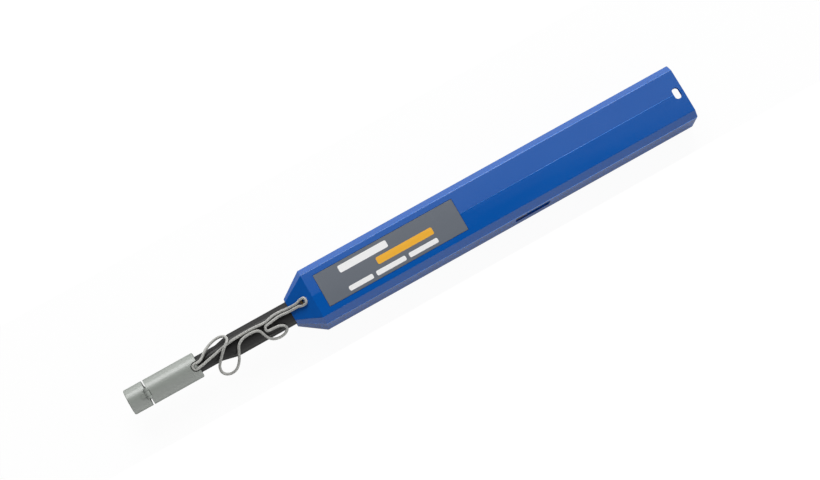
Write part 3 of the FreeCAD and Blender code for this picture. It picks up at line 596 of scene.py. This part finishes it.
@dataclass(frozen=True)
class Palette:
    """The pen's finishes, each built once."""

    cord: bpy.types.Material
    blue: bpy.types.Material
    highlight_blue: bpy.types.Material
    label: bpy.types.Material
    white_ink: bpy.types.Material
    amber_ink: bpy.types.Material
    black: bpy.types.Material
    cap: bpy.types.Material
    acetal: bpy.types.Material
    steel: bpy.types.Material
    brass: bpy.types.Material
    tape: bpy.types.Material
    felt: bpy.types.Material

    @classmethod
    def build(cls, effects: Effects) -> "Palette":
        """Builds every finish.

        Args:
            effects: the shared node groups.

        Returns:
            The palette.
        """
        finishes = {
            "cord": BraidedCord("pale_cord", colour=(0.62, 0.62, 0.59), shade_between_strands=(0.24, 0.24, 0.225)),
            "blue": MouldedPlastic(
                "blue_plastic", colour=(0.001, 0.079, 0.36), varied=(0.0015, 0.09, 0.39),
                dusty=(0.12, 0.2, 0.42), roughness=(0.12, 0.2), scuffs=0.06),
            # a paler blue for the edge beads: painted highlights along the seam and the arrises
            "highlight_blue": MouldedPlastic(
                "painted_highlight_blue", colour=(0.045, 0.21, 0.68), varied=(0.05, 0.23, 0.72),
                dusty=(0.2, 0.3, 0.6), roughness=(0.2, 0.3), scuffs=0.0),
            "label": MouldedPlastic(
                "label_grey", colour=(0.108, 0.124, 0.15), varied=(0.116, 0.132, 0.158),
                dusty=(0.2, 0.21, 0.23), roughness=(0.45, 0.55), grain_scale=4000.0),
            "white_ink": MouldedPlastic(
                "white_print", colour=(0.86, 0.86, 0.86), varied=(0.8, 0.8, 0.8),
                dusty=(0.7, 0.7, 0.7), roughness=(0.4, 0.5), scuffs=0.1),
            "amber_ink": MouldedPlastic(
                "amber_print", colour=(0.84, 0.42, 0.02), varied=(0.8, 0.39, 0.02),
                dusty=(0.7, 0.4, 0.1), roughness=(0.4, 0.5), scuffs=0.1),
            "black": MouldedPlastic(
                "black_plastic", colour=(0.016, 0.016, 0.016), varied=(0.021, 0.021, 0.021),
                dusty=(0.05, 0.05, 0.05), roughness=(0.3, 0.38), specular=0.2, scuffs=0.15),
            "cap": MouldedPlastic(
                "cap_plastic", colour=(0.27, 0.292, 0.268), varied=(0.29, 0.312, 0.288),
                dusty=(0.4, 0.42, 0.4), roughness=(0.31, 0.39), specular=0.9, scuffs=0.15),
            "acetal": MouldedPlastic(
                "acetal", colour=(0.74, 0.74, 0.7), varied=(0.7, 0.7, 0.66),
                dusty=(0.6, 0.6, 0.56), roughness=(0.3, 0.4), scuffs=0.1),
            "steel": BareMetal("bright_steel", Metal.STEEL),
            "brass": BareMetal("turned_brass", Metal.BRASS),
            "tape": FineCloth("cleaning_cloth", colour=(0.85, 0.85, 0.83), shadow=(0.6, 0.6, 0.58)),
            "felt": FineCloth("brake_felt", colour=(0.5, 0.49, 0.46), shadow=(0.32, 0.31, 0.29)),
        }
        return cls(**{name: finish.material(effects) for name, finish in finishes.items()})


# ------------------------------------------------------------------ cord loop
def spline_route(name: str, points: Sequence[Point]) -> list[Vector]:
    """Points along the smooth route that control points give.

    Args:
        name: a name for the route.
        points: control points, in millimetres.

    Returns:
        Closely spaced points along the NURBS spline, in metres.
    """
    curve = bpy.data.curves.new(f"{name}_route", "CURVE")
    curve.dimensions = "3D"
    curve.resolution_u = ROUTE_STEPS
    spline = curve.splines.new("NURBS")
    spline.points.add(len(points) - 1)
    for control, point in zip(spline.points, points):
        control.co = (*(Vector(point) * MM), 1.0)
    spline.order_u = 3
    spline.use_endpoint_u = True
    carrier = bpy.data.objects.new(f"{name}_route", curve)
    bpy.context.scene.collection.objects.link(carrier)
    bpy.context.view_layer.update()
    line = bpy.data.meshes.new_from_object(carrier)
    route = [vertex.co.copy() for vertex in line.vertices]
    bpy.data.objects.remove(carrier)
    bpy.data.curves.remove(curve)
    bpy.data.meshes.remove(line)
    return route


def tube_mesh(name: str, route: Sequence[Vector], radius: float, sides: int) -> bpy.types.Mesh:
    """A closed tube along a route, with UV along it (in diameters) and round it.

    Args:
        name: the mesh's name.
        route: closely spaced points, in metres.
        radius: the tube's radius, in metres.
        sides: corners of its section.

    Returns:
        The mesh.
    """
    shape = bmesh.new()
    marks = shape.loops.layers.uv.new("along_and_round")
    runs = [(after - before).normalized() for before, after in zip(route, route[1:])]
    turns = [(before + after).normalized() for before, after in zip(runs, runs[1:])]
    angles = [2 * math.pi * n / sides for n in range(sides)]
    side = runs[0].orthogonal().normalized()
    rings, travelled, gone = [], [], 0.0
    for index, (point, ahead) in enumerate(zip(route, (runs[0], *turns, runs[-1]))):
        side = (side - ahead * side.dot(ahead)).normalized()
        up = ahead.cross(side)
        offsets = ((side * math.cos(angle) + up * math.sin(angle)) * radius for angle in angles)
        rings.append([shape.verts.new(point + offset) for offset in offsets])
        gone += (point - route[index - 1]).length if index else 0.0
        travelled.append(gone / (2 * radius))
    for step, (back, front) in enumerate(zip(rings, rings[1:])):
        for n in range(sides):
            following = (n + 1) % sides
            face = shape.faces.new((back[n], back[following], front[following], front[n]))
            face.smooth = True
            places = ((step, n), (step, n + 1), (step + 1, n + 1), (step + 1, n))
            for loop, (row, turn) in zip(face.loops, places):
                loop[marks].uv = (travelled[row], turn / sides)
    shape.faces.new(list(reversed(rings[0])))
    shape.faces.new(rings[-1])
    bmesh.ops.recalc_face_normals(shape, faces=shape.faces)
    mesh = bpy.data.meshes.new(name)
    shape.to_mesh(mesh)
    shape.free()
    return mesh


@dataclass(frozen=True)
class CordSpan:
    """One span of the cord loop, in millimetres."""

    name: str
    node: str
    points: tuple[Point, ...]
    bodies: tuple[str, str]
    bends: tuple[float, float]
    leaves: Point
    length: float
    height: float = 15.0
    sides: int = 20

    def build(self, diameter: float, material: bpy.types.Material) -> bpy.types.Object:
        """Args:
            diameter: the cord's diameter, in metres.
            material: its finish.

        Returns:
            The span.
        """
        route = spline_route(self.name, self.points)
        piece = new_object(self.name, tube_mesh(self.name, route, diameter / 2, self.sides), material)
        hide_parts(self.node)
        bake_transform(piece)
        LOG.info("%s: %d points along its route", self.name, len(route))
        return piece


@dataclass
class TetherLoop:
    """The cord that ties the cap to the body: one closed loop, in two spans that meet at the split.

    Apart from the diameter, every length is in millimetres.
    """

    diameter: float = 1.0 * MM
    rear_bend: float = 46.5
    split: float = 64.6
    bend_gap: float = 1.5
    cap_bend: float = 83.5
    rear_length: float = 70.1
    front_length: float = 76.8
    post: float = 86.4
    rim: float = 85.4
    before_rim: float = 1.3
    loop: float = 1.2
    snugness: float = 0.13
    pinch: float = 0.75
    height: float = 4.225
    turn: float = math.radians(12.0)
    rear: tuple[Point, ...] = (
        (64.6, -1.0, 14.7), (61.6, -1.0, 14.7), (57.8, -0.5, 14.8), (54.6, -1.45, 14.65), (51.4, -1.5, 14.65),
        (48.6, -1.05, 15.0), (46.0, -0.8, 16.0), (44.4, -0.85, 16.75), (43.3, -1.3, 17.3), (41.5, -1.2, 18.2),
        (41.5, 1.0, 18.2), (43.3, 1.1, 17.3), (44.8, 0.4, 16.6), (46.6, 0.3, 15.75), (49.0, 0.15, 14.8),
        (52.4, -0.3, 14.7), (56.2, 0.35, 14.8), (58.6, 0.6, 14.8), (58.8, 2.5, 14.2), (56.4, 2.5, 14.1),
        (53.4, 2.7, 13.9), (51.5, 4.1, 12.8), (52.6, 5.7, 11.6), (55.8, 6.2, 11.2), (58.6, 5.3, 11.9),
        (60.0, 3.2, 13.6), (60.7, 1.0, 14.6), (62.6, 0.2, 14.8), (64.6, 0.2, 14.8))
    front: tuple[Point, ...] = (
        (64.6, 0.2, 14.8), (67.0, 0.2, 14.8), (69.6, 1.7, 14.6), (70.8, 4.0, 13.2), (72.2, 6.6, 11.4),
        (74.4, 8.5, 10.0), (77.2, 8.7, 9.4), (79.4, 7.2, 9.9), (79.4, 4.9, 11.4), (77.4, 2.8, 13.0),
        (75.4, 1.0, 14.9), (73.6, -0.5, 15.5), (72.0, -1.9, 14.9), (72.6, -3.9, 13.6), (75.2, -4.6, 12.6),
        (78.4, -3.9, 12.6), (81.4, -2.4, 13.1))
    home: tuple[Point, ...] = ((81.0, 0.9, 13.4), (77.4, 0.2, 13.6), (73.8, -0.6, 14.2), (68.6, -1.0, 14.7),
                               (64.6, -1.0, 14.7))

    def round_cap_post(self) -> tuple[Point, ...]:
        """The turn round the cap's post, which leans with the cap.

        Returns:
            Its control points, in millimetres.
        """
        near, far = self.rim - self.before_rim, self.post + self.loop - self.snugness
        sine, cosine = math.sin(self.turn), math.cos(self.turn)
        corners = ((near, -self.pinch), (far, -self.loop), (far, self.loop), (near, self.pinch))
        return tuple((x, y * cosine + self.height * sine, AXIS + self.height * cosine - y * sine)
                     for x, y in corners)

    def spans(self) -> tuple[CordSpan, CordSpan]:
        """The spans on either side of the split.

        Returns:
            The span from the nose post to the split, and the one from the split to the cap's post.
        """
        route = (*self.front, *self.round_cap_post(), *self.home)
        return (
            CordSpan("tether_rear_span", "tether_rear", self.rear, bodies=("housing", "carriage"),
                     bends=(self.rear_bend, self.split), leaves=self.rear[0], length=self.rear_length),
            CordSpan("tether_front_span", "tether_front", route, bodies=("carriage", "cap"),
                     bends=(self.split + self.bend_gap, self.cap_bend), leaves=self.front[0],
                     length=self.front_length),
        )

    def build(self, material: bpy.types.Material) -> list[bpy.types.Object]:
        """Builds both spans in the cord's finish."""
        return [span.build(self.diameter, material) for span in self.spans()]


# ------------------------------------------------------------------ body
@dataclass
class PrintedPatch:
    """A field of printed colour on the label, in millimetres."""

    x: tuple[float, float]
    y: tuple[float, float]
    corner: float
    steps: int = 5

    def outline(self) -> list[tuple[float, float]]:
        """The patch's rounded rectangle, seen from above.

        Returns:
            Its corners in order, in metres.
        """
        (x0, x1), (y0, y1) = self.x, self.y
        radius = self.corner * MM
        points = []
        for cx, cy, start in ((x1, y1, 0), (x0, y1, 1), (x0, y0, 2), (x1, y0, 3)):
            middle_x = cx * MM - math.copysign(radius, cx - (x0 + x1) / 2)
            middle_y = cy * MM - math.copysign(radius, cy - (y0 + y1) / 2)
            for step in range(self.steps + 1):
                angle = (start + step / self.steps) * math.pi / 2
                points.append((middle_x + radius * math.cos(angle), middle_y + radius * math.sin(angle)))
        return points


@dataclass
class PenBody:
    """The two body halves, the label plate and what is fixed in them."""

    edge: float = 0.3 * MM
    seam: float = 0.2 * MM
    label_edge: float = 0.12 * MM
    roof_rise: float = 0.2 * MM
    roof_half: float = 8.45 * MM
    stroke: float = 9.0 * MM
    # thin beads along the seam and the arrises, whose paler blue paints edge highlights
    bead: float = 0.15 * MM
    bead_sunk: float = 1.05
    bead_sides: int = 12
    bead_span: tuple[float, float] = (-108.95, -20.95)
    arris: float = 0.16 * MM
    arris_span: tuple[float, float] = (-112.4, 38.6)
    left_arris: tuple[float, float] = (-8.5, 18.4)
    right_arris: tuple[float, float] = (10.68, 16.36)
    ink: float = 0.012 * MM
    ink_root: float = 0.03 * MM
    white_print: tuple[PrintedPatch, ...] = (
        PrintedPatch(x=(6.8, 26.2), y=(-5.0, -2.3), corner=0.6),
        PrintedPatch(x=(16.6, 26.2), y=(3.3, 5.1), corner=0.5),
        PrintedPatch(x=(3.4, 15.2), y=(3.3, 5.1), corner=0.5),
        PrintedPatch(x=(-9.6, 2.0), y=(3.3, 5.1), corner=0.5),
    )
    amber_print: tuple[PrintedPatch, ...] = (PrintedPatch(x=(-9.6, 13.0), y=(-1.0, 1.7), corner=0.6),)

    def label_top(self, y: float) -> float:
        """Height of the label's face at a distance from the seam."""
        return high("label_plate").z - self.roof_rise * abs(y) / self.roof_half

    def print_mesh(self, name: str, patches: Iterable[PrintedPatch]) -> bpy.types.Mesh:
        """Thin closed patches that follow the label's two slopes.

        Args:
            name: the mesh's name.
            patches: the patches to print.

        Returns:
            One mesh.
        """
        root, face = 0.0, 1.0  # marks that tell the two sides apart until each gets its height
        shape = bmesh.new()
        for patch in patches:
            corners = [shape.verts.new((x, y, root)) for x, y in patch.outline()]
            sheet = shape.faces.new(corners)
            made = bmesh.ops.extrude_face_region(shape, geom=[sheet])
            for part in made["geom"]:
                if isinstance(part, bmesh.types.BMVert):
                    part.co.z = face
        everything = [*shape.verts, *shape.edges, *shape.faces]
        bmesh.ops.bisect_plane(shape, geom=everything, plane_co=(0, 0, 0), plane_no=(0, 1, 0), dist=CUT)
        for vertex in shape.verts:
            top = self.label_top(vertex.co.y)
            on_face = vertex.co.z > (root + face) / 2
            vertex.co.z = top + self.ink if on_face else top - self.ink_root
        bmesh.ops.recalc_face_normals(shape, faces=shape.faces)
        mesh = bpy.data.meshes.new(name)
        shape.to_mesh(mesh)
        shape.free()
        return mesh

    def build(self, palette: Palette) -> None:
        """Builds and dresses the body.

        Args:
            palette: the pen's finishes.
        """
        for half in ("housing_left", "housing_right"):
            rounded_copy(half, palette.blue, self.edge, seam=self.seam)
        rounded_copy("label_plate", palette.label, self.label_edge)
        for name, patches, ink in (("label_print_white", self.white_print, palette.white_ink),
                                   ("label_print_amber", self.amber_print, palette.amber_ink)):
            piece = new_object(name, self.print_mesh(name, patches), ink)
            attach(piece, "housing")
        self.build_highlight_beads(palette.highlight_blue)
        dress("nose_post", palette.brass)
        dress("cam_pin", palette.steel)
        self.build_spring(palette.steel)

    def build_highlight_beads(self, highlight_blue: bpy.types.Material) -> None:
        """Adds thin beads in a paler blue along the seam and both arrises, which paint the highlights that
        the rounded edges catch; the seam bead also stands for the raised line that the mould left there.

        Args:
            highlight_blue: their finish, a paler blue that paints the edge highlights.
        """
        crest = high("housing_left").z - self.bead_sunk * self.bead
        beads = (
            ("seam_highlight_bead", (0.0, crest / MM), self.bead_span, self.bead),
            ("arris_highlight_bead_left", self.left_arris, self.arris_span, self.arris),
            ("arris_highlight_bead_right", self.right_arris, self.arris_span, self.arris),
        )
        for name, place, span, radius in beads:
            ends = [Vector((x, *place)) * MM for x in span]
            # each bead's paler blue is a painted highlight along an edge
            bead = new_object(name, tube_mesh(name, ends, radius, self.bead_sides), highlight_blue)
            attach(bead, "housing")

    def build_spring(self, steel: bpy.types.Material) -> None:
        """Adds the return spring as the CAD node shapes it, fixed to the housing; in the pen it shortens as
        the nozzle is pushed in.

        Args:
            steel: its finish.
        """
        mesh = frame["nodes"]["return_spring"].data.copy()
        spring = new_object("return_spring_wire", mesh, steel)
        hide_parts("return_spring")
        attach(spring, "housing")
        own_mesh(spring)


# ------------------------------------------------------------------ carriage and drive
@dataclass
class Carriage:
    """The sliding frame, the nozzle and the turning head."""

    nozzle_edge: float = 0.2 * MM

    def build(self, palette: Palette) -> None:
        """Builds and dresses the carriage and the head.

        Args:
            palette: the pen's finishes.
        """
        rounded_copy("nozzle_tube", palette.black, self.nozzle_edge)
        dress("carriage_frame", palette.black)
        for node in ("tip_tube", "take_up_axle", "supply_axle", "tape_guide_pins", "head_tip"):
            dress(node, palette.steel)
        for node in ("cam_sleeve", "head_shaft"):
            dress(node, palette.acetal)
        dress("supply_brake_washer", palette.felt)


@dataclass
class TapeDrive:
    """The reels, the pinion, the clutch spring and the tape."""

    def build(self, palette: Palette) -> None:
        """Dresses the drive.

        Args:
            palette: the pen's finishes.
        """
        for node in ("drive_pinion", "take_up_reel", "supply_reel"):
            dress(node, palette.acetal)
        dress("clutch_spring", palette.steel)
        for node in ("take_up_tape", "supply_tape", "cleaning_tape"):
            dress(node, palette.tape)


# ------------------------------------------------------------------ guide cap
@dataclass
class GuideCap:
    """The guide cap, its lid and the hinge between them."""

    edge: float = 0.18 * MM

    def build(self, palette: Palette) -> None:
        """Builds and dresses the cap.

        Args:
            palette: the pen's finishes.
        """
        for node in ("guide_cap", "cap_lid"):
            rounded_copy(node, palette.cap, self.edge)
        dress("lid_hinge_pin", palette.steel)


# ------------------------------------------------------------------ studio
@dataclass
class Softbox:
    """One soft lamp that looks at the pen."""

    name: str
    towards: Point
    distance: float
    size: tuple[float, float]
    power: float

    def build(self, target: Vector) -> None:
        """Adds the lamp.

        Args:
            target: what it looks at, in metres.
        """
        lamp = bpy.data.lights.new(self.name, "AREA")
        lamp.shape = "RECTANGLE"
        lamp.size, lamp.size_y = self.size
        lamp.energy = self.power
        carrier = bpy.data.objects.new(self.name, lamp)
        direction = Vector(self.towards).normalized()
        carrier.location = target + direction * self.distance
        carrier.rotation_euler = direction.to_track_quat("Z", "Y").to_euler()
        bpy.context.scene.collection.objects.link(carrier)


@dataclass
class Studio:
    """The floor, the lamps, the world and the camera.

    A reach is a pair: where a change of brightness starts and where it ends. The floor's are places
    along Y in metres, and the room's are parts of a unit direction.
    """

    middle: Vector
    camera_towards: Point = (0.0935, 0.1636, 0.9821)
    camera_right: Point = (-0.8699, 0.4932, 0.0006)
    camera_distance: float = 0.75
    lens: float = 92.2
    sensor: float = 36.0
    nearest: float = 0.01
    moved_right: float = 0.53 * MM
    moved_up: float = 2.65 * MM
    floor_size: float = 6.0
    floor_white: float = 0.88
    plain_share: float = 0.95
    # to mirrored rays the floor glows: painted shade beside the pen, and painted brightness behind and in
    # front of it
    mirrored_share: float = 0.85
    painted_shade_beside: float = 0.2
    painted_glow_behind: float = 1.6
    painted_glow_behind_reach: tuple[float, float] = (-0.02, -0.07)
    painted_glow_in_front: float = 1.4
    painted_glow_in_front_reach: tuple[float, float] = (0.0127, 0.022)
    horizon: float = 1.2
    zenith: float = 0.015
    zenith_reach: tuple[float, float] = (0.25, 0.9)
    ahead: float = 0.15
    ahead_reach: tuple[float, float] = (0.1, 0.7)
    softboxes: tuple[Softbox, ...] = (
        Softbox("key_softbox", towards=(-0.12, -0.81, 0.72), distance=0.9, size=(0.8, 0.58), power=7.6),
        Softbox("fill_softbox", towards=(0.3, 0.9, 0.9), distance=1.1, size=(1.4, 1.0), power=2.25),
        Softbox("strip_softbox", towards=(-0.1, -0.31, 1.0), distance=0.9, size=(0.7, 0.2), power=0.42),
    )

    def build(self) -> None:
        """Builds the whole studio."""
        self.build_camera()
        self.build_floor()
        self.build_world()
        for softbox in self.softboxes:
            softbox.build(self.middle)

    def build_camera(self) -> None:
        """Adds the camera, above the pen and turned about its own view."""
        lens = bpy.data.cameras.new("camera")
        lens.lens = self.lens
        lens.sensor_width = self.sensor
        lens.clip_start = self.nearest
        camera = bpy.data.objects.new("camera", lens)
        back = Vector(self.camera_towards).normalized()
        right = Vector(self.camera_right)
        right = (right - back * right.dot(back)).normalized()
        up = back.cross(right)
        camera.location = (self.middle + back * self.camera_distance + right * self.moved_right
                           + up * self.moved_up)
        camera.rotation_euler = Matrix((right, up, back)).transposed().to_euler()
        bpy.context.scene.collection.objects.link(camera)
        bpy.context.scene.camera = camera

    def build_floor(self) -> None:
        """Adds a white floor that keeps a faint shadow, and that glows to mirrored rays: painted shade beside
        the pen and painted brightness behind and in front of it, which the pen's sides reflect.
        """
        half = self.floor_size / 2
        corners = [(-half, -half, 0), (half, -half, 0), (half, half, 0), (-half, half, 0)]
        mesh = bpy.data.meshes.new("floor")
        mesh.from_pydata(corners, [], [(0, 1, 2, 3)])
        material = bpy.data.materials.new("white_floor")
        material.use_nodes = True
        material.node_tree.nodes.clear()
        tree = Tree(material.node_tree)
        matt = tree.add("ShaderNodeBsdfDiffuse", Color=rgba((self.floor_white,) * 3))
        glow = tree.add("ShaderNodeEmission")
        seen = tree.add("ShaderNodeLightPath")
        place = tree.add("ShaderNodeTexCoord")
        split = tree.add("ShaderNodeSeparateXYZ")
        tree.join(place.outputs["Object"], split.inputs[0])
        # the floor's glow: painted shade beside the pen, where its shadow falls, and painted brightness
        # further out
        back = tree.ramp(split.outputs["Y"], self.painted_glow_behind_reach, (self.painted_shade_beside, self.painted_glow_behind))
        front = tree.ramp(split.outputs["Y"], self.painted_glow_in_front_reach, (self.painted_shade_beside, self.painted_glow_in_front))
        around = tree.maths("MAXIMUM", back, front)
        tree.join(tree.maths("MAXIMUM", around, seen.outputs["Is Camera Ray"]), glow.inputs["Strength"])
        mirrored = tree.maths("MULTIPLY", seen.outputs["Is Glossy Ray"], self.mirrored_share)
        plain = tree.maths("MULTIPLY", seen.outputs["Is Camera Ray"], self.plain_share)
        share = tree.maths("MAXIMUM", mirrored, plain)
        both = tree.add("ShaderNodeMixShader")
        tree.join(share, both.inputs[0])
        tree.join(matt.outputs[0], both.inputs[1])
        tree.join(glow.outputs[0], both.inputs[2])
        output = tree.add("ShaderNodeOutputMaterial")
        tree.join(both.outputs[0], output.inputs["Surface"])
        floor = new_object("floor", mesh, material)

    def build_world(self) -> None:
        """Lights the room: bright round the horizon, dim overhead and ahead, and white to the camera."""
        world = bpy.data.worlds.new("room")
        bpy.context.scene.world = world
        world.use_nodes = True
        world.node_tree.nodes.clear()
        tree = Tree(world.node_tree)
        place = tree.add("ShaderNodeTexCoord")
        split = tree.add("ShaderNodeSeparateXYZ")
        tree.join(place.outputs["Generated"], split.inputs[0])
        level = tree.ramp(split.outputs["Z"], self.zenith_reach, (self.horizon, self.zenith))
        ahead = tree.ramp(split.outputs["X"], self.ahead_reach, (1.0, self.ahead))
        room = tree.maths("MULTIPLY", level, ahead)
        seen = tree.add("ShaderNodeLightPath")
        strength = tree.maths("MAXIMUM", room, seen.outputs["Is Camera Ray"])
        light = tree.add("ShaderNodeBackground", Color=rgba((1.0, 1.0, 1.0)))
        tree.join(strength, light.inputs["Strength"])
        output = tree.add("ShaderNodeOutputWorld")
        tree.join(light.outputs[0], output.inputs["Surface"])


def main() -> None:
    """Builds the studio and dresses the pen, sub-assembly by sub-assembly."""
    logging.basicConfig(level=logging.INFO, format="%(name)s: %(message)s")
    bpy.context.scene.view_settings.view_transform = "Standard"
    Studio(middle=Vector((0, 0, AXIS * MM))).build()
    palette = Palette.build(Effects.build())
    TetherLoop().build(palette.cord)
    PenBody().build(palette)
    Carriage().build(palette)
    TapeDrive().build(palette)
    GuideCap().build(palette)


if __name__ == "__main__":
    main()
